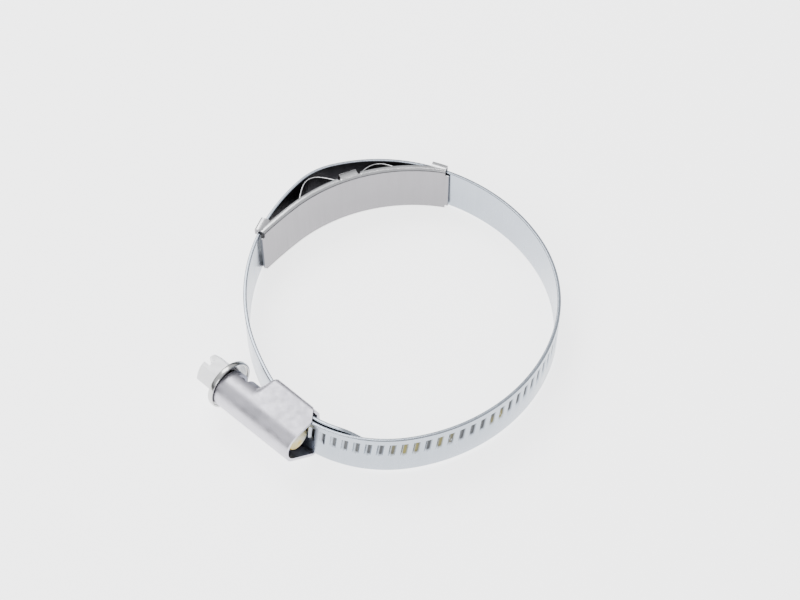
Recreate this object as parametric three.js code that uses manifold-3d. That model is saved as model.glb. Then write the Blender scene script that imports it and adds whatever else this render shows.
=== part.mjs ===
// Worm-drive hose clamp with a sprung liner, in millimetres, +Z up along the hose.
//
// While it is modelled, Z = 0 is the band's lower edge and X/Y lie in the plane of the ring, with
// the screw housing at the front left. At the end everything is moved so that the origin is the
// bottom centre of the whole clamp.
import * as THREE from 'three';
import ManifoldModule from 'manifold-3d';

const wasm = await ManifoldModule();
wasm.setup();
const { Manifold, Mesh: ManifoldMesh } = wasm;

const rad = (degrees) => (degrees * Math.PI) / 180;

// ---- driving dimensions -----------------------------------------------------------------------

const BAND_WIDTH = 12; // along the hose
const BAND_THICK = 0.9;
const BAND_EDGE = 0.22; // bevel on the band's long edges
const GAP = 0.3; // clearance between touching pieces

// The loop of band is a chain of tangent arcs [outer radius, sweep in degrees], anticlockwise
// from the tip of the slotted tail, once round, and on under the housing to the end of the tongue.
const CHANNEL_CENTRE = [-2.7, -10.4];
const TAIL_RADIUS = 32;
const TONGUE_RADIUS = 30.75;
const TAIL_TIP_ANGLE = 212;
const TONGUE_SWEEP = 55.5;
const LOOP_ARCS = [
  [TAIL_RADIUS, 67.8], // slotted tail, through the housing
  [43.8, 62.6], // front right
  [39.6, 40.6], // right side
  [46.7, 49.7], // back right
  [39.45, 35.2], // top of the bow over the springs
  [16.78, 32.8], // tighter bend of the bow
  [53.315, 60.7], // left flank
  [88.6, 5.1], // flatter run into the housing
  [TONGUE_RADIUS, TONGUE_SWEEP], // tongue under the housing
];
const LEFT_FLEX_BEFORE_TONGUE = 14; // band length from the left bending line to the tongue
const CLOSING_TURNS = 3;
const PARTING = 0.3; // slit left in the band where it bends

// The middle of the worm lies at this angle from the channel's centre, and its head end leans
// towards the hose.
const SCREW_ANGLE = 228.2;
const SCREW_OFFSET = 34.65; // from the channel's centre
const SCREW_LEAN = 1.2; // degrees, in plan
const SCREW_Z = 7.7;
const PITCH = 2.75;
const THREAD_CREST = 2.85;
const THREAD_ROOT = 2.3;
const THREAD_FROM = -9;
const THREAD_TO = 3.3;
const SCREW_TIP = 4.5;
const HEX_FLATS = 7; // two of the flats face straight up and down
const HEAD_FACE = -25.5;
const FLANGE_BACK = -19.15;
const FLANGE_FRONT = -17.75; // edge of its cupped rim, which stands round the housing's neck
const FLANGE_RADIUS = 6.15;
const CUP_RADIUS = 5.7;
const CUP_FLOOR = -18.35;
const SLOT_WIDTH = 1.8; // the slot runs up and down
const SLOT_DEPTH = 2;

const GROOVE_LENGTH = 5.4;
const GROOVE_WIDTH = 1.5;
const GROOVE_DEPTH = 0.55;
const GROOVE_FIRST = -2; // counted from the groove under the middle of the worm

const SHEET = 0.75;
const HOUSING_END = 5.6; // along the screw, from the middle of the worm
const SADDLE_START = -8.2; // where the saddle is full size
const FLARE_START = -12.8; // where the neck starts to widen into the saddle
const NECK_START = -17.9;
const TUBE_RADIUS = 4.65;
const TUBE_SHIFT = [-0.75, -0.4]; // tube's middle from the screw's axis, at its two ends
const WALL_FACE = 6.85; // hose side of the saddle, from the screw's axis
const WALL_END = 4.6; // the hose side wall is shorter than the tube

const LINER_CENTRE = [3.83, -1.42];
const LINER_RADIUS = 40.6; // outside of the liner's web
const LINER_RISE = 1.2; // how much the radius grows beyond the wave spring, to the left clip
const LINER_FROM = 77; // degrees about the liner's centre
const LINER_TO = 153.8;
const LINER_THICK = 0.5;
const LINER_TOP = 13;
const LINER_LIP = 1.3; // how far the rolled edges stand out from the web
const CLIP_LENGTH = 4; // along the band, at each end
const CLIP_TURN = 5.6; // the same, as an angle about the liner's centre

const WAVE_THICK = 0.35;
const WAVE_FROM = 89;
const WAVE_TO = 137;
const TAB_OUT = 2.05; // inner face of the middle tab, from the web
const WAVE_MARGIN = 0.5; // how far the spring's edges stay inside the band's

// ---- colours ----------------------------------------------------------------------------------

const metal = (color, roughness) =>
  new THREE.MeshStandardMaterial({ color, roughness, metalness: 0.9 });
const bandSteel = metal(0xc8ced8, 0.32);
const housingSteel = metal(0xc4c2cc, 0.38);
const screwZinc = metal(0xdcdde0, 0.45);
const linerSteel = metal(0xbdbab4, 0.4);
const springSteel = metal(0xb4b6ba, 0.3);

// ---- mesh helpers -----------------------------------------------------------------------------

// Welds coincident corners and drops collapsed triangles, then hands the shell to Manifold.
function solid(positions, triangles) {
  const seen = new Map();
  const corners = [];
  const index = positions.map((p) => {
    const key = p.map((v) => Math.round(v * 1e5)).join();
    if (!seen.has(key)) {
      seen.set(key, seen.size);
      corners.push(...p);
    }
    return seen.get(key);
  });
  const faces = [];
  let volume = 0;
  const at = (i) => new THREE.Vector3(...corners.slice(3 * i, 3 * i + 3));
  for (const triangle of triangles) {
    const [a, b, c] = triangle.map((i) => index[i]);
    if (a === b || b === c || c === a) continue;
    faces.push(a, b, c);
    volume += at(a).dot(at(b).cross(at(c)));
  }
  if (volume < 0) faces.reverse();
  return new Manifold(
    new ManifoldMesh({
      numProp: 3,
      vertProperties: Float32Array.from(corners),
      triVerts: Uint32Array.from(faces),
    }),
  );
}

// Sweeps flat outlines through space. place(i, [a, b]) gives the position of an outline corner at
// station i; outline(i) may change along the way but keeps its number of corners.
function sweep(stations, outline, place, ring = false) {
  const size = outline(0).length;
  const positions = [];
  const triangles = [];
  for (let i = 0; i < stations; i++) {
    for (const corner of outline(i)) positions.push(place(i, corner));
  }
  const last = ring ? stations : stations - 1;
  for (let i = 0; i < last; i++) {
    const here = i * size;
    const next = ((i + 1) % stations) * size;
    for (let k = 0; k < size; k++) {
      const m = (k + 1) % size;
      triangles.push([here + k, next + k, next + m], [here + k, next + m, here + m]);
    }
  }
  if (!ring) {
    // The cap's triangles run the same way round as the outline at the start, and back at the
    // end. Corners along a straight edge are left out by the triangulation, so such an outline,
    // always a convex one here, is fanned out from its first corner instead.
    const cap = (i, back) => {
      const flat = outline(i).map(([a, b]) => new THREE.Vector2(a, b));
      let pieces = THREE.ShapeUtils.triangulateShape(flat, []);
      if (pieces.length < size - 2) pieces = flat.slice(2).map((_, k) => [0, k + 1, k + 2]);
      const areas = pieces.map((t) => THREE.ShapeUtils.area(t.map((k) => flat[k])));
      const same = areas.reduce((sum, area) => sum + area) * THREE.ShapeUtils.area(flat) > 0;
      for (const t of pieces) {
        const face = t.map((k) => k + i * size);
        triangles.push(same === back ? face.reverse() : face);
      }
    };
    cap(0, false);
    cap(stations - 1, true);
  }
  return solid(positions, triangles);
}

// Outline corners in anticlockwise order, with the corners cut back by `cut`.
function bevelled(a0, b0, a1, b1, cut) {
  return [
    [a0 + cut, b0], [a1 - cut, b0], [a1, b0 + cut], [a1, b1 - cut],
    [a1 - cut, b1], [a0 + cut, b1], [a0, b1 - cut], [a0, b0 + cut],
  ];
}

// Turns an outline of [radius, height] all the way round, or through part of a circle.
function revolve(outline, segments, from = 0, to = 360, centre = [0, 0]) {
  const full = to - from >= 360;
  const count = full ? segments : segments + 1;
  const place = (i, [r, z]) => {
    const angle = rad(from + ((to - from) * i) / segments);
    return [centre[0] + r * Math.cos(angle), centre[1] + r * Math.sin(angle), z];
  };
  return sweep(count, () => outline, place, full);
}

// Straight bar of the given outline, along X from x0 to x1; the outline is in (Y, Z).
const bar = (outline, x0, x1) => sweep(2, () => outline, (i, [a, b]) => [i ? x1 : x0, a, b]);

const unite = (...bodies) => bodies.reduce((sum, body) => sum.add(body));
const cut = (body, ...tools) => tools.reduce((left, tool) => left.subtract(tool), body);

// ---- the loop of band -------------------------------------------------------------------------

function tangentArcs(centre, startAngle, arcs) {
  let angle = rad(startAngle);
  let [x, y] = centre;
  let radius = arcs[0][0];
  let start = 0;
  return arcs.map(([nextRadius, sweepAngle]) => {
    x += (radius - nextRadius) * Math.cos(angle);
    y += (radius - nextRadius) * Math.sin(angle);
    radius = nextRadius;
    const arc = { x, y, radius, angle, start, length: radius * rad(sweepAngle) };
    angle += rad(sweepAngle);
    start += arc.length;
    return arc;
  });
}

const loop = tangentArcs(CHANNEL_CENTRE, TAIL_TIP_ANGLE, LOOP_ARCS);
const loopLength = loop.at(-1).start + loop.at(-1).length;
const tongueStart = loop.at(-1).start;

// Point on the band's outer face and its outward normal, at a distance along the band.
function onBand(distance) {
  const arc = loop.findLast((each) => each.start <= distance) ?? loop[0];
  const angle = arc.angle + (distance - arc.start) / arc.radius;
  const n = [Math.cos(angle), Math.sin(angle)];
  return { p: [arc.x + arc.radius * n[0], arc.y + arc.radius * n[1]], n };
}

const offset = ({ p, n }, out) => [p[0] + n[0] * out, p[1] + n[1] * out];
const midBand = (distance) => offset(onBand(distance), -BAND_THICK / 2);

// Distance along the band at which it is seen at `angle` from `centre`; the angle rises with it.
function bandAtAngle(centre, angle, low, high) {
  for (let step = 0; step < 40; step++) {
    const middle = (low + high) / 2;
    const [x, y] = midBand(middle);
    let seen = Math.atan2(y - centre[1], x - centre[0]) - angle;
    seen -= 2 * Math.PI * Math.round(seen / (2 * Math.PI));
    if (seen < 0) low = middle;
    else high = middle;
  }
  return (low + high) / 2;
}

// The two bending lines. Seen from the channel's centre they face each other, less half the angle
// that the tail turns through, so the tail is back on its circle when the clamp is closed.
const feedAngle = (CLOSING_TURNS * PITCH) / TAIL_RADIUS;
const leftFlex = tongueStart - LEFT_FLEX_BEFORE_TONGUE;
const leftPoint = midBand(leftFlex);
const acrossAngle = Math.atan2(
  CHANNEL_CENTRE[1] - leftPoint[1],
  CHANNEL_CENTRE[0] - leftPoint[0],
);
const rightFlex = bandAtAngle(CHANNEL_CENTRE, acrossAngle + feedAngle / 2, loop[1].start, loop[3].start);

function bandStrip(from, to, shorten = () => 0) {
  const step = 1.6;
  const marks = [from, to];
  for (const arc of loop) {
    const count = Math.ceil(arc.length / step);
    for (let i = 0; i < count; i++) marks.push(arc.start + (arc.length * i) / count);
  }
  const stops = marks.filter((d) => d >= from && d <= to).sort((a, b) => a - b)
    .filter((d, i, all) => i === 0 || d - all[i - 1] > 0.05);
  stops[stops.length - 1] = to;
  const outline = (i) => {
    const trim = shorten(stops[i]);
    return bevelled(-BAND_THICK, trim, 0, BAND_WIDTH - trim, BAND_EDGE);
  };
  return sweep(stops.length, outline, (i, [out, z]) => [...offset(onBand(stops[i]), out), z]);
}

// ---- slotted tail -----------------------------------------------------------------------------

// One pressed groove: a long, narrow hollow with cut corners, leaning with the thread.
function groove(distance) {
  const { p, n } = onBand(distance);
  const lean = PITCH / (2 * Math.PI * 3.55);
  const along = [-n[1], n[0]];
  const half = GROOVE_WIDTH / 2;
  const end = GROOVE_LENGTH / 2;
  const shape = bevelled(-half, -end, half, end, 0.4);
  return sweep(2, () => shape, (i, [across, up]) => {
    const shift = across + up * lean;
    const out = i ? 0.8 : -GROOVE_DEPTH;
    return [
      p[0] + n[0] * out + along[0] * shift,
      p[1] + n[1] * out + along[1] * shift,
      SCREW_Z + up,
    ];
  });
}

const underWorm = TAIL_RADIUS * rad(SCREW_ANGLE - TAIL_TIP_ANGLE);
const tipTaper = (d) => 1.6 * Math.max(0, 1 - d / 2.2) ** 2;
let tail = bandStrip(0, rightFlex - PARTING / 2, tipTaper);
const grooveEnd = rightFlex - 2.2;
for (let k = GROOVE_FIRST; underWorm + k * PITCH < grooveEnd; k++) {
  tail = tail.subtract(groove(underWorm + k * PITCH));
}

const backSpan = bandStrip(rightFlex + PARTING / 2, leftFlex - PARTING / 2);
const tongueTaper = (d) => 3 * Math.max(0, 1 - (loopLength - d) / 6.4) ** 2;
const fixedEnd = bandStrip(leftFlex + PARTING / 2, loopLength, tongueTaper);

// ---- screw ------------------------------------------------------------------------------------

// Screw frame: X along the screw from head to tip, Y inwards to the hose, Z up the hose.
const squareOut = [Math.cos(rad(SCREW_ANGLE)), Math.sin(rad(SCREW_ANGLE))];
const outward = [
  Math.cos(rad(SCREW_ANGLE - SCREW_LEAN)),
  Math.sin(rad(SCREW_ANGLE - SCREW_LEAN)),
];
const screwFrame = new THREE.Matrix4()
  .makeBasis(
    new THREE.Vector3(-outward[1], outward[0], 0),
    new THREE.Vector3(-outward[0], -outward[1], 0),
    new THREE.Vector3(0, 0, 1),
  )
  .setPosition(
    CHANNEL_CENTRE[0] + SCREW_OFFSET * squareOut[0],
    CHANNEL_CENTRE[1] + SCREW_OFFSET * squareOut[1],
    SCREW_Z,
  );
const ontoScrew = (body) => body.transform(screwFrame.elements.slice());

// Turned body about X, from an outline of [radius, x].
function turned(outline, segments = 48) {
  return sweep(segments, () => outline, (i, [r, x]) => {
    const angle = (2 * Math.PI * i) / segments;
    return [x, r * Math.cos(angle), r * Math.sin(angle)];
  }, true);
}

function thread() {
  const perTurn = 24;
  const from = THREAD_FROM - PITCH * 0.25;
  const turns = (THREAD_TO + PITCH * 0.25 - from) / PITCH;
  const stations = Math.ceil(turns * perTurn) + 1;
  const outline = (i) => {
    const runout = Math.min(1, i / (perTurn * 0.4), (stations - 1 - i) / (perTurn * 0.4));
    const crest = THREAD_ROOT + 0.02 + (THREAD_CREST - THREAD_ROOT - 0.02) * runout;
    return [[THREAD_ROOT - 0.3, -0.7], [crest, -0.42], [crest, 0.42], [THREAD_ROOT - 0.3, 0.7]];
  };
  return sweep(stations, outline, (i, [r, along]) => {
    const x = from + (PITCH * i) / perTurn;
    const angle = (2 * Math.PI * x) / PITCH;
    return [x + along, r * Math.cos(angle), r * Math.sin(angle)];
  });
}

const shaft = turned([
  [0, SCREW_TIP], [2.6, SCREW_TIP], [2.8, SCREW_TIP - 0.2], [2.8, 3.9], [THREAD_ROOT, 3.4],
  [THREAD_ROOT, THREAD_FROM - 0.4], [2.9, THREAD_FROM - 1.2], [2.9, CUP_FLOOR],
  [CUP_RADIUS - 0.3, CUP_FLOOR], [CUP_RADIUS, CUP_FLOOR + 0.25], [CUP_RADIUS, FLANGE_FRONT],
  [FLANGE_RADIUS - 0.1, FLANGE_FRONT], [FLANGE_RADIUS, FLANGE_FRONT - 0.15],
  [FLANGE_RADIUS, FLANGE_BACK + 0.35], [FLANGE_RADIUS - 0.3, FLANGE_BACK], [4.9, FLANGE_BACK],
  [4.5, FLANGE_BACK - 0.3], [0, FLANGE_BACK - 0.3],
]);
const hexCorner = HEX_FLATS / Math.sqrt(3);
const hexOutline = Array.from({ length: 6 }, (_, i) => {
  const angle = rad(60 * i);
  return [-hexCorner * Math.cos(angle), hexCorner * Math.sin(angle)];
});
const headLimit = turned([
  [0, HEAD_FACE], [3.3, HEAD_FACE], [4.2, HEAD_FACE + 0.55], [4.2, FLANGE_BACK + 0.1],
  [0, FLANGE_BACK + 0.1],
]);
const hexHead = bar(hexOutline, HEAD_FACE, FLANGE_BACK + 0.1).intersect(headLimit);
const driveSlot = bar(bevelled(-SLOT_WIDTH / 2, -6, SLOT_WIDTH / 2, 6, 0.01), HEAD_FACE - 1,
  HEAD_FACE + SLOT_DEPTH);
const screw = ontoScrew(cut(unite(shaft, thread(), hexHead), driveSlot));

// ---- housing ----------------------------------------------------------------------------------

// Outline that wraps tightly round a set of circles [y, z, radius].
function wrapRound(circles) {
  const points = circles.flatMap(([y, z, r]) => Array.from({ length: 40 }, (_, i) => {
    const angle = (2 * Math.PI * i) / 40;
    return [y + r * Math.cos(angle), z + r * Math.sin(angle)];
  }));
  points.sort((a, b) => a[0] - b[0] || a[1] - b[1]);
  const turn = (o, a, b) => (a[0] - o[0]) * (b[1] - o[1]) - (a[1] - o[1]) * (b[0] - o[0]);
  const half = (list) => {
    const chain = [];
    for (const point of list) {
      while (chain.length > 1 && turn(chain.at(-2), chain.at(-1), point) <= 1e-6) chain.pop();
      chain.push(point);
    }
    return chain.slice(0, -1);
  };
  return [...half(points), ...half([...points].reverse())];
}

// Corner of a convex outline seen at each of evenly spread angles from a point inside it.
function seenFrom([y0, z0], outline, count = 72) {
  return Array.from({ length: count }, (_, i) => {
    const [dy, dz] = [Math.cos((2 * Math.PI * i) / count), Math.sin((2 * Math.PI * i) / count)];
    let reach = 0;
    outline.forEach(([ay, az], k) => {
      const [by, bz] = outline[(k + 1) % outline.length];
      const across = dy * (bz - az) - dz * (by - ay);
      const r = ((ay - y0) * (bz - az) - (az - z0) * (by - ay)) / across;
      const part = ((ay - y0) * dz - (az - z0) * dy) / across;
      if (r > 0 && part >= -1e-6 && part <= 1 + 1e-6) reach = Math.max(reach, r);
    });
    return [y0 + reach * dy, z0 + reach * dz];
  });
}

// Section of the housing: the tube, wrapped together with the saddle's corners [y, z, radius],
// which grow out of the tube along the flare.
const saddleCorners = [
  [WALL_FACE - 1.3, 13 - 1.3 - SCREW_Z, 1.3],
  [WALL_FACE - 1.3, -1 + 1.3 - SCREW_Z, 1.3],
  [3.6, -1 + 1.5 - SCREW_Z, 1.5],
];
function housingSection(along, inset) {
  const { lerp, mapLinear, smoothstep } = THREE.MathUtils;
  const grown = smoothstep(along, FLARE_START, SADDLE_START);
  const tubeY = mapLinear(along, NECK_START, HOUSING_END, ...TUBE_SHIFT);
  const corners = saddleCorners.map(([y, z, r]) => [lerp(tubeY, y, grown), z * grown, r - inset]);
  return seenFrom([tubeY, 0], wrapRound([[tubeY, 0, TUBE_RADIUS - inset], ...corners]));
}
function housingShell(inset, from, to) {
  const flare = Array.from({ length: 11 }, (_, i) =>
    THREE.MathUtils.lerp(FLARE_START, SADDLE_START, i / 10));
  const stops = [from, ...flare, to];
  return sweep(stops.length, (i) => housingSection(stops[i], inset),
    (i, [y, z]) => [stops[i], y, z]);
}

// Prism over a flat [along, y] outline, between two heights.
const plate = (outline, low, high) =>
  sweep(2, () => outline, (i, [x, y]) => [x, y, i ? high : low]);
const wallTrim = plate([[WALL_END, 5.7], [9, 5.7], [9, 9], [WALL_END, 9]], -12, 12);
const cornerTrim = plate([[HOUSING_END, 3.45], [9, 3.45], [9, 9], [2.8, 9], [2.8, 6.85]], 3.7, 12);
// Relief between the neck and the flare, on the side of the tail.
const reliefCut = plate([[-16.1, 1.5], [-13.4, 1.5], [-13.4, 8], [-16.1, 8]], -2, 8);

// The band's channel through the saddle, curved about the channel's centre.
const channel = revolve(
  bevelled(TONGUE_RADIUS - BAND_THICK - GAP, -0.25, TAIL_RADIUS + GAP + 0.05, BAND_WIDTH + 0.25, 0.1),
  40, SCREW_ANGLE - 40, SCREW_ANGLE + 40, CHANNEL_CENTRE,
);
const housing = cut(
  ontoScrew(cut(
    housingShell(0, NECK_START, HOUSING_END),
    housingShell(SHEET, NECK_START - 1, HOUSING_END + 1),
    wallTrim, cornerTrim, reliefCut,
  )),
  channel,
);

// ---- liner and wave spring --------------------------------------------------------------------

function bandInside(angle) {
  const at = bandAtAngle(LINER_CENTRE, angle, loop[3].start, loop[7].start);
  const [x, y] = offset(onBand(at), -BAND_THICK);
  return Math.hypot(x - LINER_CENTRE[0], y - LINER_CENTRE[1]);
}

// Radius of the web's outer face: a circle, drawn out a little towards the left clip, that stops
// short of the band's inner face.
function linerRadius(angle) {
  const beyond = Math.max(0, (angle - rad(WAVE_TO)) / rad(LINER_TO - WAVE_TO));
  return Math.min(LINER_RADIUS + LINER_RISE * beyond ** 2, bandInside(angle) - GAP);
}

const onCircle = (radius, angle) => [
  LINER_CENTRE[0] + radius * Math.cos(angle),
  LINER_CENTRE[1] + radius * Math.sin(angle),
];

function along(radiusAt, degrees) {
  const angle = rad(degrees);
  const p = onCircle(radiusAt(angle), angle);
  const a = onCircle(radiusAt(angle - 0.004), angle - 0.004);
  const b = onCircle(radiusAt(angle + 0.004), angle + 0.004);
  const length = Math.hypot(b[0] - a[0], b[1] - a[1]);
  return { p, n: [(b[1] - a[1]) / length, (a[0] - b[0]) / length] };
}

function linerSweep(outline, from, to) {
  const count = Math.max(3, Math.ceil((to - from) / 2.2) + 1);
  const stops = Array.from({ length: count }, (_, i) => from + ((to - from) * i) / (count - 1));
  return sweep(count, () => outline, (i, [out, z]) => [
    ...offset(along(linerRadius, stops[i]), out), z,
  ]);
}

const linerBottom = BAND_WIDTH - LINER_TOP;
const rolled = [
  [-LINER_THICK, linerBottom + 0.5], [-LINER_THICK + 0.5, linerBottom],
  [LINER_LIP - 0.3, linerBottom], [LINER_LIP, linerBottom + 0.25],
  [LINER_LIP - 0.3, linerBottom + LINER_THICK], [0.2, linerBottom + LINER_THICK],
  [0, linerBottom + LINER_THICK + 0.2], [0, LINER_TOP - LINER_THICK - 0.2],
  [0.2, LINER_TOP - LINER_THICK], [LINER_LIP - 0.3, LINER_TOP - LINER_THICK],
  [LINER_LIP, LINER_TOP - 0.25], [LINER_LIP - 0.3, LINER_TOP],
  [-LINER_THICK + 0.5, LINER_TOP], [-LINER_THICK, LINER_TOP - 0.5],
];
const webOnly = bevelled(-LINER_THICK, 0.4, 0, BAND_WIDTH - 0.4, 0.12);
// Clips at the ends: top and bottom hooks that close over the band's edges and behind it.
const clipHook = (edge, towardsMiddle) => [
  [-BAND_THICK - GAP - 0.45, edge], [GAP + LINER_THICK, edge],
  [GAP + LINER_THICK, edge + 2 * towardsMiddle], [GAP, edge + 2 * towardsMiddle],
  [GAP, edge + LINER_THICK * towardsMiddle],
  [-BAND_THICK - GAP - 0.45, edge + LINER_THICK * towardsMiddle],
];
function clip(fromAngle) {
  const start = bandAtAngle(LINER_CENTRE, rad(fromAngle), loop[3].start, loop[7].start);
  const stops = [0, 1, 2, 3].map((k) => start + (CLIP_LENGTH * k) / 3);
  return [[LINER_TOP, -1], [linerBottom, 1]].map(([edge, towards]) =>
    sweep(4, () => clipHook(edge, towards), (i, [out, z]) => [
      ...offset(onBand(stops[i]), out), z,
    ]));
}
const clips = [...clip(LINER_FROM + 1.4), ...clip(LINER_TO - 1.4 - CLIP_TURN)];
// Middle tab that keeps the wave spring in.
const middle = (WAVE_FROM + WAVE_TO) / 2;
const middleTab = linerSweep([
  [LINER_LIP - 0.1, LINER_TOP - LINER_THICK], [TAB_OUT, LINER_TOP - LINER_THICK],
  [TAB_OUT, LINER_TOP - 3], [TAB_OUT + 0.5, LINER_TOP - 3],
  [TAB_OUT + 0.5, LINER_TOP - 0.3], [TAB_OUT + 0.2, LINER_TOP], [LINER_LIP - 0.1, LINER_TOP],
], middle - 3.2, middle + 3.2);
const liner = unite(
  linerSweep(rolled, LINER_FROM + 1.4, LINER_TO - 1.4),
  linerSweep(webOnly, LINER_FROM, LINER_TO),
  ...clips,
  middleTab,
);

function waveRadius(angle) {
  const turn = (angle - rad(WAVE_FROM)) / rad(WAVE_TO - WAVE_FROM);
  const lift = (1 - Math.cos(4 * Math.PI * turn)) / 2;
  const web = linerRadius(angle);
  const room = bandInside(angle) - web - 2 * GAP - WAVE_THICK;
  return web + GAP + Math.max(0, room) * lift;
}
const waveStops = 56;
const waveSection = bevelled(0, WAVE_MARGIN, WAVE_THICK, BAND_WIDTH - WAVE_MARGIN, 0.08);
const waveSpring = sweep(waveStops, () => waveSection,
  (i, [out, z]) => {
    const degrees = WAVE_FROM + ((WAVE_TO - WAVE_FROM) * i) / (waveStops - 1);
    return [...offset(along(waveRadius, degrees), out), z];
  });

// ---- nodes ------------------------------------------------------------------------------------

function toMesh(name, body, material) {
  const { vertProperties, triVerts, numProp } = body.getMesh();
  const positions = new Float32Array(triVerts.length * 3);
  triVerts.forEach((corner, i) => {
    for (let axis = 0; axis < 3; axis++) {
      positions[3 * i + axis] = vertProperties[corner * numProp + axis];
    }
  });
  const geometry = new THREE.BufferGeometry();
  geometry.setAttribute('position', new THREE.BufferAttribute(positions, 3));
  geometry.computeVertexNormals();
  const mesh = new THREE.Mesh(geometry, material);
  mesh.name = name;
  return mesh;
}

const clamp = new THREE.Group();
clamp.name = 'hose_clamp';
clamp.add(
  toMesh('housing', housing, housingSteel),
  toMesh('worm_screw', screw, screwZinc),
  toMesh('band_fixed_end', fixedEnd, bandSteel),
  toMesh('band_back_span', backSpan, bandSteel),
  toMesh('band_slotted_tail', tail, bandSteel),
  toMesh('spring_liner', liner, linerSteel),
  toMesh('wave_spring', waveSpring, springSteel),
);

// Origin at the bottom centre of the whole clamp.
const box = new THREE.Box3().setFromObject(clamp);
const centre = box.getCenter(new THREE.Vector3());
for (const mesh of clamp.children) {
  mesh.geometry.translate(-centre.x, -centre.y, -box.min.z);
}

export default clamp;
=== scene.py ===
"""Looks of the worm-drive hose clamp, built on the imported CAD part.

Shapes are worked out in millimetres in the clamp's modelling frame (Z = 0 at the band's lower
edge) and moved into the part's own frame by SHIFT.
"""
import math

import bmesh
import bpy
import numpy as np
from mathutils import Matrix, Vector


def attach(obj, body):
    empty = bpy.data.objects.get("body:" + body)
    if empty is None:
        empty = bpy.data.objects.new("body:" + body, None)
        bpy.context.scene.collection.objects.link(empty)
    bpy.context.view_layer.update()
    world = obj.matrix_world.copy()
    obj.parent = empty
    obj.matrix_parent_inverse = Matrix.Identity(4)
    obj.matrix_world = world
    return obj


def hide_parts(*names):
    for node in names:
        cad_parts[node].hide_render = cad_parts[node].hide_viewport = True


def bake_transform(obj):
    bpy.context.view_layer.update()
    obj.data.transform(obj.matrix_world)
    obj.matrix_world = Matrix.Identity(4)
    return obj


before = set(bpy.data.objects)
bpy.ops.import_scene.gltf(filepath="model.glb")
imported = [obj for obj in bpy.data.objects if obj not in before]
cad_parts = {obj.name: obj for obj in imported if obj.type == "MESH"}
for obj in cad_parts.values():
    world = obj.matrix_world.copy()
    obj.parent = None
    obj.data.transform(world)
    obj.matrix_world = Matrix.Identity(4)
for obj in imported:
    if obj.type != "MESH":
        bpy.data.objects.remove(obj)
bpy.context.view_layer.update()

# ---- dimensions shared with the CAD part ------------------------------------------------------

SHIFT = np.array([3.9880, 0.0941, 1.0])
BAND_WIDTH, BAND_THICK, GAP = 12.0, 0.9, 0.3
CHANNEL_CENTRE = np.array([-2.7, -10.4])
TAIL_RADIUS, TONGUE_RADIUS, TAIL_TIP_ANGLE = 32.0, 30.75, 212.0
LOOP_ARCS = [
    (TAIL_RADIUS, 67.8), (43.8, 62.6), (39.6, 40.6), (46.7, 49.7), (39.45, 35.2),
    (16.78, 32.8), (53.315, 60.7), (88.6, 5.1), (TONGUE_RADIUS, 55.5),
]
SCREW_ANGLE, SCREW_LEAN, SCREW_OFFSET, SCREW_Z = 228.2, 1.2, 34.65, 7.7
PITCH, THREAD_CREST, THREAD_ROOT, THREAD_FROM, THREAD_TO = 2.75, 2.85, 2.3, -9.0, 3.3
SCREW_TIP, HEX_FLATS, HEAD_FACE, FLANGE_BACK, FLANGE_FRONT = 4.5, 7.0, -25.5, -19.15, -17.75
FLANGE_RADIUS, CUP_RADIUS, CUP_FLOOR, SLOT_WIDTH, SLOT_DEPTH = 6.15, 5.7, -18.35, 1.8, 2.0
GROOVE_LENGTH, GROOVE_WIDTH, GROOVE_DEPTH, GROOVE_FIRST = 5.4, 1.5, 0.55, -2
SHEET, HOUSING_END, SADDLE_START, FLARE_START, NECK_START = 0.75, 5.6, -8.2, -12.8, -17.9
TUBE_RADIUS, TUBE_SHIFT, WALL_FACE, WALL_END = 4.65, (-0.75, -0.4), 6.85, 4.6
LINER_CENTRE, LINER_RADIUS, LINER_FROM, LINER_TO = np.array([3.83, -1.42]), 40.6, 77.0, 153.8
LINER_THICK, LINER_TOP, LINER_LIP, CLIP_LENGTH, CLIP_TURN = 0.5, 13.0, 1.3, 4.0, 5.6
LINER_RISE, TAB_OUT = 1.2, 2.05
WAVE_THICK, WAVE_FROM, WAVE_TO, WAVE_MARGIN = 0.35, 89.0, 137.0, 0.5
SEAM = 0.01
TONGUE_TAPER, TONGUE_TRIM = 6.4, 3.0  # length of the tongue's taper, and its trim at the end
TAIL_TAPER, TAIL_TRIM = 2.2, 1.6
BOW_ARC, LAST_ARC_SEEN = 3, 7  # arcs of the loop between which the liner's band lies
CLIP_INSET = 1.4  # degrees from the liner's ends to its clips
CAMERA_DISTANCE, CAMERA_ELEVATION, CAMERA_LENS = 0.4, 52, 74.2
LOOK_AT = (0.468, 2.384, 6.0)


# ---- mesh helpers -----------------------------------------------------------------------------

def make_object(name, points, faces, smooth=True):
    """A mesh object from points in millimetres, with outward faces and shared corners."""
    mesh = bpy.data.meshes.new(name)
    mesh.from_pydata([tuple(p) for p in (np.asarray(points) + SHIFT) * 0.001], [], faces)
    obj = bpy.data.objects.new(name, mesh)
    bpy.context.scene.collection.objects.link(obj)
    form = bmesh.new()
    form.from_mesh(mesh)
    bmesh.ops.remove_doubles(form, verts=form.verts, dist=2e-7)
    bmesh.ops.recalc_face_normals(form, faces=form.faces)
    form.to_mesh(mesh)
    form.free()
    for face in mesh.polygons:
        face.use_smooth = smooth
    return obj


def grid_faces(stations, size, ring=False, start=0):
    """Quads of a swept outline, with an end face at each end unless it closes on itself."""
    faces = []
    for i in range(stations if ring else stations - 1):
        a, b = start + i * size, start + ((i + 1) % stations) * size
        for k in range(size):
            m = (k + 1) % size
            faces.append((a + k, b + k, b + m, a + m))
    if not ring:
        last = start + (stations - 1) * size
        faces.append(tuple(start + k for k in range(size)))
        faces.append(tuple(last + k for k in reversed(range(size))))
    return faces


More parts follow.
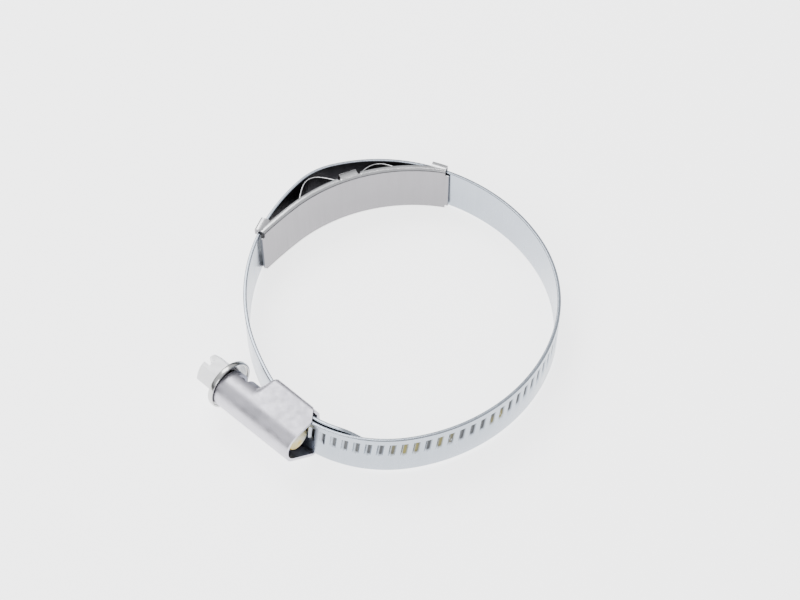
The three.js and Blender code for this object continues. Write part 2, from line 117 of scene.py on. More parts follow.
def swept(name, rows, ring=False, smooth=True):
    """An object from a list of outlines, each a list of 3-D points with the same count."""
    rows = [np.asarray(r, float) for r in rows]
    return make_object(name, np.vstack(rows), grid_faces(len(rows), len(rows[0]), ring), smooth)


def joined(name, parts):
    """Several closed shells as one object."""
    form = bmesh.new()
    for part in parts:
        form.from_mesh(part.data)
    mesh = bpy.data.meshes.new(name)
    form.to_mesh(mesh)
    form.free()
    for part in parts:
        bpy.data.objects.remove(part)
    obj = bpy.data.objects.new(name, mesh)
    bpy.context.scene.collection.objects.link(obj)
    return obj


def bake(obj):
    """Applies an object's modifiers to its mesh."""
    bpy.context.view_layer.update()
    made = bpy.data.meshes.new_from_object(obj.evaluated_get(bpy.context.evaluated_depsgraph_get()))
    obj.modifiers.clear()
    obj.data = made
    return obj


def combine(base, other, how):
    step = base.modifiers.new("combine", "BOOLEAN")
    step.operation, step.solver, step.object = how, "EXACT", other
    bake(base)
    bpy.data.objects.remove(other)
    return base


def soften(obj, width, segments=3, angle=32):
    """Rounds an object's sharp edges and shades the rest smooth."""
    form = bmesh.new()
    form.from_mesh(obj.data)
    bmesh.ops.remove_doubles(form, verts=form.verts, dist=5e-6)
    bmesh.ops.dissolve_degenerate(form, edges=form.edges, dist=2e-6)
    bmesh.ops.dissolve_limit(
        form, angle_limit=math.radians(0.5), verts=form.verts, edges=form.edges)
    form.to_mesh(obj.data)
    form.free()
    step = obj.modifiers.new("round", "BEVEL")
    step.width, step.segments = width * 0.001, segments
    step.limit_method, step.angle_limit = "ANGLE", math.radians(angle)
    step.use_clamp_overlap = True
    step.miter_outer = "MITER_ARC"
    step.harden_normals = False
    for face in obj.data.polygons:
        face.use_smooth = True
    weigh = obj.modifiers.new("normals", "WEIGHTED_NORMAL")
    weigh.keep_sharp = True
    return bake(obj)


def rounded(a0, b0, a1, b1, radius, steps=4):
    """A rectangle with round corners, anticlockwise."""
    out = []
    corners = ((a1 - radius, b0 + radius, -90), (a1 - radius, b1 - radius, 0),
               (a0 + radius, b1 - radius, 90), (a0 + radius, b0 + radius, 180))
    for a, b, start in corners:
        for i in range(steps + 1):
            turn = math.radians(start + 90 * i / steps)
            out.append((a + radius * math.cos(turn), b + radius * math.sin(turn)))
    return out


def smoothstep(value, low, high):
    t = np.clip((value - low) / (high - low), 0, 1)
    return t * t * (3 - 2 * t)


# ---- the loop of band -------------------------------------------------------------------------

def tangent_arcs():
    """The loop's arcs, each as its centre, radius, first angle, start and length."""
    arcs, angle, start = [], math.radians(TAIL_TIP_ANGLE), 0.0
    centre, radius = CHANNEL_CENTRE.copy(), LOOP_ARCS[0][0]
    for next_radius, turn in LOOP_ARCS:
        centre = centre + (radius - next_radius) * np.array([math.cos(angle), math.sin(angle)])
        radius = next_radius
        length = radius * math.radians(turn)
        arcs.append((centre, radius, angle, start, length))
        angle += math.radians(turn)
        start += length
    return arcs


LOOP = tangent_arcs()
LOOP_LENGTH = LOOP[-1][3] + LOOP[-1][4]


def on_band(distance):
    """Point on the band's outer face, and its outward normal."""
    centre, radius, angle, start, _ = [a for a in LOOP if a[3] <= distance or a is LOOP[0]][-1]
    turn = angle + (distance - start) / radius
    normal = np.array([math.cos(turn), math.sin(turn)])
    return centre + radius * normal, normal


def band_point(distance, out, z):
    point, normal = on_band(distance)
    x, y = point + normal * out
    return x, y, z


def band_at_angle(angle):
    """Distance along the band at which its middle is seen at `angle` from the liner's centre."""
    low, high = LOOP[BOW_ARC][3], LOOP[LAST_ARC_SEEN][3]
    for _ in range(40):
        middle = (low + high) / 2
        x, y, _z = band_point(middle, -BAND_THICK / 2, 0)
        seen = math.atan2(y - LINER_CENTRE[1], x - LINER_CENTRE[0]) - angle
        seen -= 2 * math.pi * round(seen / (2 * math.pi))
        low, high = (middle, high) if seen < 0 else (low, middle)
    return (low + high) / 2


RIGHT_FLEX = 93.54
CLIP_START = band_at_angle(math.radians(LINER_FROM + CLIP_INSET))
BAND_SEAM = CLIP_START + CLIP_LENGTH / 2
EDGE = 0.26


def band_strip(name, stops):
    """Plain strip of band through these distances, with rounded edges and a tapered tongue."""
    rows = []
    for d in stops:
        trim = TONGUE_TRIM * max(0, 1 - (LOOP_LENGTH - d) / TONGUE_TAPER) ** 2
        outline = rounded(-BAND_THICK, trim, 0, BAND_WIDTH - trim, EDGE)
        rows.append([band_point(d, out, z) for out, z in outline])
    return swept(name, rows)


def groove_depth(across, up):
    """Depth of a pressed groove: round-bottomed, with a longer slope at its lower end."""
    side = max(0, 1 - (across / (GROOVE_WIDTH / 2 + 0.03)) ** 2) ** 0.75
    top = smoothstep(GROOVE_LENGTH / 2 + 0.03 - up, 0, 0.3)
    foot = smoothstep(up + GROOVE_LENGTH / 2 + 0.03, 0, 1.5)
    return GROOVE_DEPTH * side * top * foot


def slotted_band(name, end):
    """Slotted tail and the right side of the loop, as one strip with pressed grooves."""
    under_worm = TAIL_RADIUS * math.radians(SCREW_ANGLE - TAIL_TIP_ANGLE)
    lean = PITCH / (2 * math.pi * 3.55)
    last = RIGHT_FLEX - 2.2
    grooves = []
    k = GROOVE_FIRST
    while under_worm + k * PITCH < last:
        grooves.append(under_worm + k * PITCH)
        k += 1
    stops = [0, 0.06, 0.2, 0.5, 1.0, 1.6, 2.2]
    offsets = (-0.95, -0.82, -0.76, -0.7, -0.6, -0.45, -0.3, -0.15)
    offsets += (0,) + tuple(-o for o in reversed(offsets))
    for g in grooves:
        stops += [g + o for o in offsets]
    mark = grooves[-1] + 1.9
    while mark < end - 0.6:
        stops.append(mark)
        mark += 0.9
    stops.append(end)
    half = GROOVE_LENGTH / 2
    ups = [-half - 0.5, -half - 0.05, -half + 0.15, -half + 0.4, -half + 0.65, -half + 0.9,
           -half + 1.2, -half + 1.5, -0.6, 0.2, 1, half - 0.5, half - 0.28, half - 0.18,
           half - 0.08, half, half + 0.05, half + 0.4]
    rows = []
    groove_shade = []
    for d in stops:
        trim = TAIL_TRIM * max(0, 1 - d / TAIL_TAPER) ** 2
        ring = rounded(-BAND_THICK, trim, 0, BAND_WIDTH - trim, EDGE)
        lower, upper = ring[:5], ring[5:]
        row = [band_point(d, out, z) for out, z in lower]
        groove_shade += [0.0] * len(lower)
        near = min(grooves, key=lambda g: abs(g - d))
        for up in ups:
            z = SCREW_Z + up
            fade = smoothstep(d, 2.2, 3.4) * smoothstep(end - d, 0, 1.0)
            shift = lean * up * float(fade)
            deep = float(groove_depth(d - near, up))
            x, y, _z = band_point(d + shift, -deep, z)
            row.append((x, y, min(max(z, trim + EDGE + 0.05), BAND_WIDTH - trim - EDGE - 0.05)))
            # Painted shade for the groove: strongest deep in it and on its far wall, fading on its
            # near wall and towards its lower end.
            shade = smoothstep(d - near, -0.35, 0.1) * smoothstep(up + half, 0.4, 1.8)
            groove_shade.append(deep / GROOVE_DEPTH * (0.3 + 0.7 * float(shade)))
        row += [band_point(d, out, z) for out, z in upper]
        groove_shade += [0.0] * len(upper)
        rows.append(row)
    obj = swept(name, rows)
    # The grooves' painted shade, matched to the merged corners by their places.
    layer = obj.data.attributes.new("groove", "FLOAT", "POINT")
    flat = np.asarray(rows).reshape(-1, 3)
    wanted = (flat + SHIFT) * 0.001
    got = np.array([v.co for v in obj.data.vertices])
    order = {tuple(np.round(p * 1e7).astype(int)): t for p, t in zip(wanted, groove_shade)}
    values = [order.get(tuple(np.round(p * 1e7).astype(int)), 0.0) for p in got]
    layer.data.foreach_set("value", np.array(values, np.float32))
    return obj


def spread(start, end, step):
    count = max(2, math.ceil((end - start) / step) + 1)
    return list(np.linspace(start, end, count))


tail_band = slotted_band("band_right_and_tail", BAND_SEAM - SEAM)
left_band = band_strip("band_left_and_bow", spread(BAND_SEAM + SEAM, LOOP_LENGTH, 0.8))


# ---- screw ------------------------------------------------------------------------------------

def direction(degrees):
    return np.array([math.cos(math.radians(degrees)), math.sin(math.radians(degrees))])


OUTWARD = direction(SCREW_ANGLE - SCREW_LEAN)
ALONG = np.array([-OUTWARD[1], OUTWARD[0]])
SCREW_FOOT = CHANNEL_CENTRE + SCREW_OFFSET * direction(SCREW_ANGLE)


def screw_point(along, inward, up):
    x, y = SCREW_FOOT + ALONG * along - OUTWARD * inward
    return x, y, SCREW_Z + up


def turned(name, outline, segments=96):
    """A turned piece about the screw's axis, from [radius, along] pairs."""
    rows = []
    for i in range(segments):
        a = 2 * math.pi * i / segments
        rows.append([screw_point(s, r * math.cos(a), r * math.sin(a)) for r, s in outline])
    return swept(name, rows, ring=True)


def bar(name, outline, start, end):
    return swept(name, [[screw_point(s, a, b) for a, b in outline] for s in (start, end)],
                 smooth=False)


def worm_thread():
    per_turn = 48
    start = THREAD_FROM - PITCH * 0.25
    turns = (THREAD_TO + PITCH * 0.25 - start) / PITCH
    count = math.ceil(turns * per_turn) + 1
    rows = []
    for i in range(count):
        run = min(1, i / (per_turn * 0.4), (count - 1 - i) / (per_turn * 0.4))
        crest = THREAD_ROOT + 0.02 + (THREAD_CREST - THREAD_ROOT - 0.02) * run
        root = THREAD_ROOT - 0.3
        s = start + PITCH * i / per_turn
        a = 2 * math.pi * s / PITCH
        outline = ((root, -0.7), (crest - 0.08, -0.47), (crest, -0.38), (crest, 0.38),
                   (crest - 0.08, 0.47), (root, 0.7))
        rows.append([screw_point(s + t, r * math.cos(a), r * math.sin(a)) for r, t in outline])
    return swept("thread", rows)


shaft = turned("shaft", [
    (0, SCREW_TIP - 0.12), (1.5, SCREW_TIP - 0.08), (2.4, SCREW_TIP), (2.65, SCREW_TIP - 0.05),
    (2.8, SCREW_TIP - 0.2), (2.8, 3.9), (THREAD_ROOT, 3.4), (THREAD_ROOT, THREAD_FROM - 0.4),
    (2.9, THREAD_FROM - 1.2), (2.9, CUP_FLOOR + 0.05), (2.95, CUP_FLOOR),
    (CUP_RADIUS - 0.3, CUP_FLOOR), (CUP_RADIUS - 0.09, CUP_FLOOR + 0.09),
    (CUP_RADIUS, CUP_FLOOR + 0.3), (CUP_RADIUS, FLANGE_FRONT - 0.08),
    (CUP_RADIUS + 0.08, FLANGE_FRONT), (FLANGE_RADIUS - 0.15, FLANGE_FRONT),
    (FLANGE_RADIUS - 0.04, FLANGE_FRONT - 0.05), (FLANGE_RADIUS, FLANGE_FRONT - 0.18),
    (FLANGE_RADIUS, FLANGE_BACK + 0.4), (FLANGE_RADIUS - 0.1, FLANGE_BACK + 0.14),
    (FLANGE_RADIUS - 0.35, FLANGE_BACK), (4.95, FLANGE_BACK), (4.75, FLANGE_BACK - 0.06),
    (4.5, FLANGE_BACK - 0.3), (0, FLANGE_BACK - 0.3),
])
corner = HEX_FLATS / math.sqrt(3)
hexagon = [(-corner * math.cos(math.radians(60 * i)), corner * math.sin(math.radians(60 * i)))
           for i in range(6)]
head = bar("hexagon", hexagon, HEAD_FACE, FLANGE_BACK + 0.1)
combine(head, turned("limit", [
    (0, HEAD_FACE), (2.9, HEAD_FACE), (3.35, HEAD_FACE + 0.12), (4.2, HEAD_FACE + 0.65),
    (4.2, FLANGE_BACK + 0.1), (0, FLANGE_BACK + 0.1)], 72), "INTERSECT")
half_slot = SLOT_WIDTH / 2
combine(head, bar("slot", [(-half_slot, -6), (half_slot, -6), (half_slot, 6), (-half_slot, 6)],
                  HEAD_FACE - 1, HEAD_FACE + SLOT_DEPTH), "DIFFERENCE")
soften(head, 0.2)
screw = joined("worm_screw_full", [shaft, worm_thread(), head])


# ---- housing ----------------------------------------------------------------------------------

def wrap_round(circles, steps=96):
    """Outline that wraps tightly round circles (y, z, radius), anticlockwise."""
    points = sorted({(round(y + r * math.cos(2 * math.pi * i / steps), 6),
                      round(z + r * math.sin(2 * math.pi * i / steps), 6))
                     for y, z, r in circles for i in range(steps)})

    def half(items):
        chain = []
        for p in items:
            while len(chain) > 1:
                o, a = chain[-2], chain[-1]
                if (a[0] - o[0]) * (p[1] - o[1]) - (a[1] - o[1]) * (p[0] - o[0]) > 1e-6:
                    break
                chain.pop()
            chain.append(p)
        return chain[:-1]

    return half(points) + half(points[::-1])


def seen_from(y0, outline, count=144):
    """Where rays at even angles from (y0, 0) meet a convex outline."""
    corners = np.array(outline)
    edges = np.roll(corners, -1, axis=0) - corners
    away = corners - np.array([y0, 0])
    seen = []
    for angle in np.linspace(0, 2 * math.pi, count, endpoint=False):
        dy, dz = math.cos(angle), math.sin(angle)
        across = dy * edges[:, 1] - dz * edges[:, 0]
        across[abs(across) < 1e-12] = 1e-12
        reach = (away[:, 0] * edges[:, 1] - away[:, 1] * edges[:, 0]) / across
        part = (away[:, 0] * dz - away[:, 1] * dy) / across
        met = reach[(reach > 0) & (part >= -1e-6) & (part <= 1 + 1e-6)].max()
        seen.append((y0 + met * dy, met * dz))
    return seen


SADDLE_CORNERS = [
    (WALL_FACE - 1.3, 13 - 1.3 - SCREW_Z, 1.3),
    (WALL_FACE - 1.3, -1 + 1.3 - SCREW_Z, 1.3),
    (3.6, -1 + 1.5 - SCREW_Z, 1.5),
]


def housing_section(along, inset):
    """The tube, wrapped together with the saddle's corners that grow out of it on the flare."""
    grown = float(smoothstep(along, FLARE_START, SADDLE_START))
    way = (along - NECK_START) / (HOUSING_END - NECK_START)
    tube_y = TUBE_SHIFT[0] + (TUBE_SHIFT[1] - TUBE_SHIFT[0]) * way
    circles = [(tube_y, 0, TUBE_RADIUS - inset)]
    circles += [(tube_y + (y - tube_y) * grown, z * grown, r - inset) for y, z, r in SADDLE_CORNERS]
    return seen_from(tube_y, wrap_round(circles))


def housing_shell(name, inset, start, end):
    stops = [start, *np.linspace(FLARE_START, SADDLE_START, 24), end]
    return swept(name, [[screw_point(s, y, z) for y, z in housing_section(s, inset)]
                        for s in stops])


def plate(name, outline, low, high):
    """A prism over a flat (along, inward) outline."""
    return swept(name, [[screw_point(s, y, z) for s, y in outline] for z in (low, high)],
                 smooth=False)


def channel_ring():
    """The space that the two layers of band take through the saddle."""
    rows = []
    for i in range(81):
        a = math.radians(SCREW_ANGLE - 40 + i)
        rows.append([(CHANNEL_CENTRE[0] + r * math.cos(a), CHANNEL_CENTRE[1] + r * math.sin(a), z)
                     for r, z in rounded(TONGUE_RADIUS - BAND_THICK - GAP, -0.25,
                                         TAIL_RADIUS + GAP + 0.05, BAND_WIDTH + 0.25, 0.1)])
    return swept("channel", rows, smooth=False)


housing = housing_shell("housing_sheet", 0, NECK_START, HOUSING_END)
combine(housing, plate("wall_trim", [(WALL_END, 5.7), (9, 5.7), (9, 9), (WALL_END, 9)], -12, 12),
        "DIFFERENCE")
combine(housing, plate("corner_trim", [(HOUSING_END, 3.45), (9, 3.45), (9, 9), (2.8, 9),
                                       (2.8, WALL_FACE)], 3.7, 12), "DIFFERENCE")
combine(housing, plate("relief", [(-16.1, 1.5), (-13.4, 1.5), (-13.4, 8), (-16.1, 8)], -2, 8),
        "DIFFERENCE")
combine(housing, channel_ring(), "DIFFERENCE")
combine(housing, housing_shell("inside", SHEET, NECK_START - 1, HOUSING_END + 1), "DIFFERENCE")
soften(housing, 0.16)


# ---- liner and wave spring --------------------------------------------------------------------

def band_inside(angle):
    at = band_at_angle(angle)
    x, y, _z = band_point(at, -BAND_THICK, 0)
    return math.hypot(x - LINER_CENTRE[0], y - LINER_CENTRE[1])


def liner_radius(angle):
    beyond = max(0, (math.degrees(angle) - WAVE_TO) / (LINER_TO - WAVE_TO))
    return min(LINER_RADIUS + LINER_RISE * beyond ** 2, band_inside(angle) - GAP)


def wave_radius(angle):
    turn = (math.degrees(angle) - WAVE_FROM) / (WAVE_TO - WAVE_FROM)
    lift = (1 - math.cos(4 * math.pi * turn)) / 2
    web = liner_radius(angle)
    return web + GAP + max(0, band_inside(angle) - web - 2 * GAP - WAVE_THICK) * lift


def curve_frames(radius_at, stops):
    """Points and outward normals along a curve given by its radius about the liner's centre."""
    def place(angle):
        r = radius_at(angle)
        return LINER_CENTRE + r * np.array([math.cos(angle), math.sin(angle)])
    frames = []
    for degrees in stops:
        a = math.radians(degrees)
        tangent = place(a + 0.004) - place(a - 0.004)
        tangent /= np.linalg.norm(tangent)
        frames.append((place(a), np.array([tangent[1], -tangent[0]])))
    return frames


def along_curve(name, radius_at, stops, outline_at):
    rows = []
    for stop, (point, normal) in zip(stops, curve_frames(radius_at, stops)):
        rows.append([(*(point + normal * out), z) for out, z in outline_at(stop)])
    return swept(name, rows)


MIDDLE = (WAVE_FROM + WAVE_TO) / 2
BOTTOM = BAND_WIDTH - LINER_TOP


def rolled_outline(stop):
    """The liner's section: a web with both edges rolled outwards, the lips cut back at notches."""
    notch = float(smoothstep(0.45 - abs(abs(stop - MIDDLE) - 3.75), -0.12, 0.12))
    lip = LINER_LIP - (LINER_LIP - 0.7) * notch
    t, r = LINER_THICK, 0.8
    half = []
    for i in range(8):
        a = math.radians(180 - 90 * i / 7)
        half.append((-t + r + r * math.cos(a), LINER_TOP - r + r * math.sin(a)))
    half += [(lip - 0.25, LINER_TOP - 0.04), (lip - 0.07, LINER_TOP - 0.1), (lip, LINER_TOP - 0.25),
             (lip - 0.07, LINER_TOP - t + 0.07), (lip - 0.25, LINER_TOP - t)]
    for i in range(6):
        a = math.radians(90 + 90 * i / 5)
        half.append((r - t + (r - t) * math.cos(a), LINER_TOP - r + (r - t) * math.sin(a)))
    mirror = [(out, BAND_WIDTH - z) for out, z in reversed(half)]
    return half + mirror


def clip_shells(start_angle, name):
    """Hooks that close over the band's edges, dipping under the lip where they join it."""
    start = band_at_angle(math.radians(start_angle))
    shells = []
    inner, reach = -BAND_THICK - GAP - 0.45, GAP + LINER_THICK
    for edge, towards in ((LINER_TOP, -1), (BOTTOM, 1)):
        outline = [(inner, edge + towards * 0.3), (inner + 0.35, edge + towards * 0.02),
                   (reach - 0.45, edge)]
        outline += [(reach - 0.45 + 0.45 * math.sin(math.radians(a)),
                     edge + towards * 0.45 * (1 - math.cos(math.radians(a)))) for a in (30, 60, 90)]
        outline += [(reach, edge + towards * 1.9), (reach - 0.1, edge + towards * 2),
                    (GAP + 0.1, edge + towards * 2), (GAP, edge + towards * 1.9),
                    (GAP, edge + towards * (LINER_THICK + 0.1)),
                    (GAP - 0.1, edge + towards * LINER_THICK),
                    (inner, edge + towards * (LINER_THICK - 0.03))]
        rows = [[band_point(d, out, z) for out, z in outline]
                for d in spread(start, start + CLIP_LENGTH, 0.8)]
        shells.append(swept(name, rows))
    return shells


web_outline = rounded(-LINER_THICK, 0.4, 0, BAND_WIDTH - 0.4, 0.15)
top = LINER_TOP
tab_outline = [(0.5, top - LINER_THICK + 0.04), (TAB_OUT - 0.1, top - LINER_THICK + 0.02),
               (TAB_OUT, top - LINER_THICK - 0.1), (TAB_OUT, top - 2.9),
               (TAB_OUT + 0.1, top - 3), (TAB_OUT + 0.4, top - 3), (TAB_OUT + 0.5, top - 2.9),
               (TAB_OUT + 0.5, top - 0.5), (TAB_OUT + 0.4, top - 0.2),
               (TAB_OUT + 0.1, top), (0.5, top - 0.02)]
lip_stops = sorted(set(spread(LINER_FROM + CLIP_INSET, LINER_TO - CLIP_INSET, 1.0)) | {
    MIDDLE + side * (3.75 + o) for side in (-1, 1) for o in (-0.6, -0.45, -0.3, 0.3, 0.45, 0.6)})
liner = joined("spring_liner_plate", [
    along_curve("lips", liner_radius, lip_stops, rolled_outline),
    along_curve("web", liner_radius, spread(LINER_FROM, LINER_TO, 1.0), lambda _s: web_outline),
    along_curve("tab", liner_radius, spread(MIDDLE - 3.1, MIDDLE + 3.1, 0.8),
                lambda _s: tab_outline),
    *clip_shells(LINER_FROM + CLIP_INSET, "clip_right"),
    *clip_shells(LINER_TO - CLIP_INSET - CLIP_TURN, "clip_left"),
])
wave_outline = rounded(0, WAVE_MARGIN, WAVE_THICK, BAND_WIDTH - WAVE_MARGIN, 0.12, 2)
wave = along_curve("wave_spring_strip", wave_radius, spread(WAVE_FROM, WAVE_TO, 0.45),
                   lambda _s: wave_outline)


# ---- materials --------------------------------------------------------------------------------

def add(tree, kind, **values):
    node = tree.nodes.new(kind)
    for key, value in values.items():
        setattr(node, key, value)
    return node


def steel(name, colour, roughness, streak=0.03, mottle=0.03, bump=0.02, grain=(900, 900, 60),
          metallic=1.0, stain=None, stain_size=180, stain_share=0.5, groove_shade_and_yellow=None):
    """Plated steel: rolling streaks, cloudy plating, a fine grain in the gloss, and either a
    second colour in patches or painted shade darkening the pressed grooves, with yellow spots in
    them."""
    material = bpy.data.materials.new(name)
    material.use_nodes = True
    tree = material.node_tree
    shader = tree.nodes["Principled BSDF"]
    shader.inputs["Metallic"].default_value = metallic
    place = add(tree, "ShaderNodeTexCoord")
    stretch = add(tree, "ShaderNodeMapping")
    stretch.inputs["Scale"].default_value = grain
    tree.links.new(place.outputs["Object"], stretch.inputs["Vector"])

    def noise(scale, detail, vector):
        node = add(tree, "ShaderNodeTexNoise")
        node.inputs["Scale"].default_value = scale
        node.inputs["Detail"].default_value = detail
        tree.links.new(vector, node.inputs["Vector"])
        return node.outputs["Fac"]

    def rescale(source, low, high, source_low=0.3, source_high=0.7):
        node = add(tree, "ShaderNodeMapRange")
        for socket, value in zip(("From Min", "From Max", "To Min", "To Max"),
                                 (source_low, source_high, low, high)):
            node.inputs[socket].default_value = value
        tree.links.new(source, node.inputs["Value"])
        return node.outputs["Result"]

    def product(a, b):
        node = add(tree, "ShaderNodeMath", operation="MULTIPLY")
        tree.links.new(a, node.inputs[0])
        tree.links.new(b, node.inputs[1])
        return node.outputs[0]

    def blended(share, below, above):
        node = add(tree, "ShaderNodeMix", data_type="RGBA")
        node.inputs["B"].default_value = (*above, 1)
        tree.links.new(share, node.inputs["Factor"])
        tree.links.new(below, node.inputs["A"])
        return node.outputs["Result"]

    streaks = noise(1.0, 6, stretch.outputs["Vector"])
    clouds = noise(160, 4, place.outputs["Object"])
    tone = product(rescale(streaks, 1 - streak, 1 + streak),
                   rescale(clouds, 1 - mottle, 1 + mottle))
    tinted = add(tree, "ShaderNodeVectorMath", operation="SCALE")
    tinted.inputs[0].default_value = colour
    tree.links.new(tone, tinted.inputs["Scale"])
    base = tinted.outputs["Vector"]
    if stain:
        patches = noise(stain_size, 3, place.outputs["Object"])
        middle = 1 - stain_share
        base = blended(rescale(patches, 0, 1, middle - 0.12, middle + 0.12), base, stain)
    if groove_shade_and_yellow:
        depth = add(tree, "ShaderNodeAttribute", attribute_name="groove").outputs["Fac"]
        base = blended(rescale(depth, 0, 1, 0.1, 0.7), base, groove_shade_and_yellow[0])
        spots = noise(95, 1, place.outputs["Object"])
        yellowed = product(rescale(spots, 0, 0.9, 0.56, 0.66), depth)
        base = blended(yellowed, base, groove_shade_and_yellow[1])
    tree.links.new(base, shader.inputs["Base Color"])
    gloss = product(rescale(streaks, 0.82 * roughness, 1.18 * roughness),
                    rescale(clouds, 0.88, 1.12))
    tree.links.new(gloss, shader.inputs["Roughness"])
    relief = add(tree, "ShaderNodeBump")
    relief.inputs["Strength"].default_value = bump
    relief.inputs["Distance"].default_value = 0.00005
    tree.links.new(streaks, relief.inputs["Height"])
    tree.links.new(relief.outputs["Normal"], shader.inputs["Normal"])
    return material


def dress(obj, material):
    obj.data.materials.clear()
    obj.data.materials.append(material)
    for face in obj.data.polygons:
        face.use_smooth = True


def crease(obj, angle=38):
    """Smooth shading, except across edges sharper than this."""
    form = bmesh.new()
    form.from_mesh(obj.data)
    for edge in form.edges:
        if len(edge.link_faces) == 2:
            edge.smooth = edge.calc_face_angle(0) < math.radians(angle)
    form.to_mesh(obj.data)
    form.free()


# The band's pressed grooves get painted shade (near black), with yellowish spots in them.
band_steel = steel("band_steel", (0.335, 0.37, 0.42), 0.24,
                   groove_shade_and_yellow=((0.035, 0.037, 0.04), (0.15, 0.13, 0.03)))
housing_steel = steel("housing_steel", (0.50, 0.49, 0.54), 0.42, mottle=0.04, grain=(500, 500, 500))
screw_zinc = steel("screw_zinc", (0.50, 0.50, 0.49), 0.2, grain=(400, 400, 400))
# The head's near-white colour is a painted highlight, far paler than the rest of the screw's zinc.
head_zinc_painted_highlight = steel("head_zinc_painted_highlight", (0.90, 0.90, 0.91), 0.5, grain=(400, 400, 400), metallic=0.55)
tip_zinc = steel("tip_zinc", (0.40, 0.39, 0.31), 0.3, grain=(700, 700, 700), mottle=0.15,
                 stain=(0.34, 0.26, 0.06), stain_size=330)
liner_steel = steel("liner_steel", (0.235, 0.228, 0.24), 0.34, streak=0, mottle=0.02, bump=0)
# Near-black steel as painted shade for the inside of the bow and the spring within it.
painted_shade_steel = steel("painted_shade_steel", (0.10, 0.10, 0.11), 0.4, streak=0, bump=0)
spring_steel = steel("spring_steel", (0.50, 0.50, 0.51), 0.2)

for piece, material, slot_name, nodes in (
    (tail_band, band_steel, "band_steel", ("band_slotted_tail",)),
    (left_band, band_steel, "band_steel", ("band_fixed_end", "band_back_span")),
    (screw, screw_zinc, "screw_zinc", ("worm_screw",)),
    (housing, housing_steel, "housing_steel", ("housing",)),
    (liner, liner_steel, "liner_steel", ("spring_liner",)),
    (wave, spring_steel, "spring_steel", ("wave_spring",)),
):
    dress(piece, material)
    crease(piece)
    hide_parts(*nodes)


# The screw's head is painted far paler than its flange, a painted highlight for the light glaring
# off it, and its tip is a yellow zinc.
for extra in (head_zinc_painted_highlight, tip_zinc):
    screw.data.materials.append(extra)
foot = (np.array([*SCREW_FOOT, SCREW_Z]) + SHIFT) * 0.001
for face in screw.data.polygons:
    along = float(np.dot((np.array(face.center) - foot)[:2], ALONG)) * 1000
    face.material_index = 1 if along < FLANGE_BACK - 0.02 else 2 if along > 3.6 else 0


# The band inside the bow and the spring's broad faces get painted shade: a near-black steel where
# they lie in shade.
for strip in (left_band, wave):
    strip.data.materials.append(painted_shade_steel)
for face in left_band.data.polygons:
    x, y = np.array(face.center)[:2] * 1000 - SHIFT[:2] - LINER_CENTRE
    turn = math.degrees(math.atan2(y, x))
    inward = -(face.normal.x * x + face.normal.y * y) / math.hypot(x, y)
    face.material_index = int(inward > 0.7 and LINER_FROM + 2 < turn < LINER_TO - 2)
for face in wave.data.polygons:
    face.material_index = int(abs(face.normal.z) < 0.3)
# The liner's upward-facing faces, its rolled edges, take the brighter spring steel as a painted
# highlight.
liner.data.materials.append(spring_steel)
for face in liner.data.polygons:
    face.material_index = int(face.normal.z > 0.5)


def bending(obj):
    """Bakes a strip of band's placement into its mesh."""
    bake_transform(obj)


bending(left_band)
bending(tail_band)
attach(screw, "screw")
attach(housing, "housing_side")
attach(liner, "sprung_span")
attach(wave, "sprung_span")

# ---- floor, light and camera ------------------------------------------------------------------

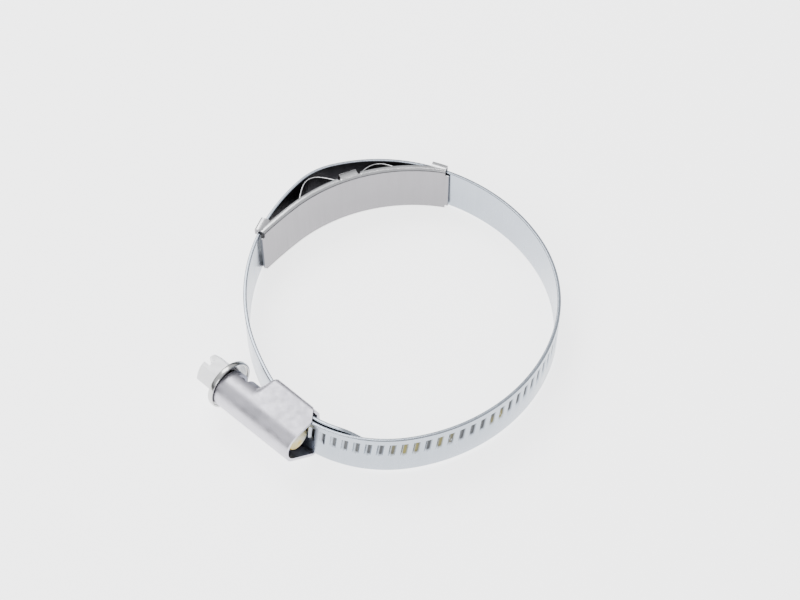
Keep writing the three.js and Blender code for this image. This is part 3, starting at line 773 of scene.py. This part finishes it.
floor_mesh = bpy.data.meshes.new("floor")
floor_mesh.from_pydata([(-3, -3, 0), (3, -3, 0), (3, 3, 0), (-3, 3, 0)], [], [(0, 1, 2, 3)])
floor = bpy.data.objects.new("floor", floor_mesh)
bpy.context.scene.collection.objects.link(floor)
floor.location.z = -0.0001
paper = bpy.data.materials.new("paper")
paper.use_nodes = True
paper_shader = paper.node_tree.nodes["Principled BSDF"]
paper_shader.inputs["Base Color"].default_value = (0.93, 0.93, 0.935, 1)
paper_shader.inputs["Roughness"].default_value = 0.95
paper_shader.inputs["Specular IOR Level"].default_value = 0.1
paper_shader.inputs["Emission Color"].default_value = (1, 1, 1, 1)
paper_shader.inputs["Emission Strength"].default_value = 2.6
floor.data.materials.append(paper)


def studio_world():
    """A bright ceiling that falls off to a grey band round the horizon."""
    world = bpy.data.worlds.new("studio")
    bpy.context.scene.world = world
    world.use_nodes = True
    tree = world.node_tree
    background = tree.nodes["Background"]
    place = add(tree, "ShaderNodeTexCoord")
    split = add(tree, "ShaderNodeSeparateXYZ")
    ramp = add(tree, "ShaderNodeValToRGB")
    tree.links.new(place.outputs["Generated"], split.inputs["Vector"])
    tree.links.new(split.outputs["Z"], ramp.inputs["Fac"])
    tree.links.new(ramp.outputs["Color"], background.inputs["Color"])
    steps = ((0.0, 0.12), (0.25, 0.16), (0.48, 0.9), (1.0, 1.0))
    while len(ramp.color_ramp.elements) < len(steps):
        ramp.color_ramp.elements.new(0.5)
    for element, (height, level) in zip(ramp.color_ramp.elements, steps):
        element.position = height
        element.color = (0.97 * level, 0.98 * level, level, 1)
    background.inputs["Strength"].default_value = 1.15


studio_world()


def softbox(name, location, target, size, power):
    light = bpy.data.lights.new(name, "AREA")
    light.shape = "RECTANGLE"
    light.size, light.size_y = size
    light.energy = power
    obj = bpy.data.objects.new(name, light)
    obj.location = location
    obj.rotation_euler = (Vector(target) - Vector(location)).to_track_quat("-Z", "Y").to_euler()
    bpy.context.scene.collection.objects.link(obj)


softbox("key", (-0.2, 0.35, 0.6), (0, 0, 0), (0.35, 0.35), 3)
softbox("fill", (-0.35, -0.45, 0.5), (0, 0, 0), (0.3, 0.3), 2)

camera_data = bpy.data.cameras.new("camera")
camera_data.lens = CAMERA_LENS
camera_data.sensor_width = 36
camera = bpy.data.objects.new("camera", camera_data)
bpy.context.scene.collection.objects.link(camera)
target = Vector((np.array(LOOK_AT) + SHIFT) * 0.001)
elevation = math.radians(CAMERA_ELEVATION)
camera.location = target + CAMERA_DISTANCE * Vector((0, -math.cos(elevation), math.sin(elevation)))
camera.rotation_euler = (target - camera.location).to_track_quat("-Z", "Y").to_euler()
bpy.context.scene.camera = camera
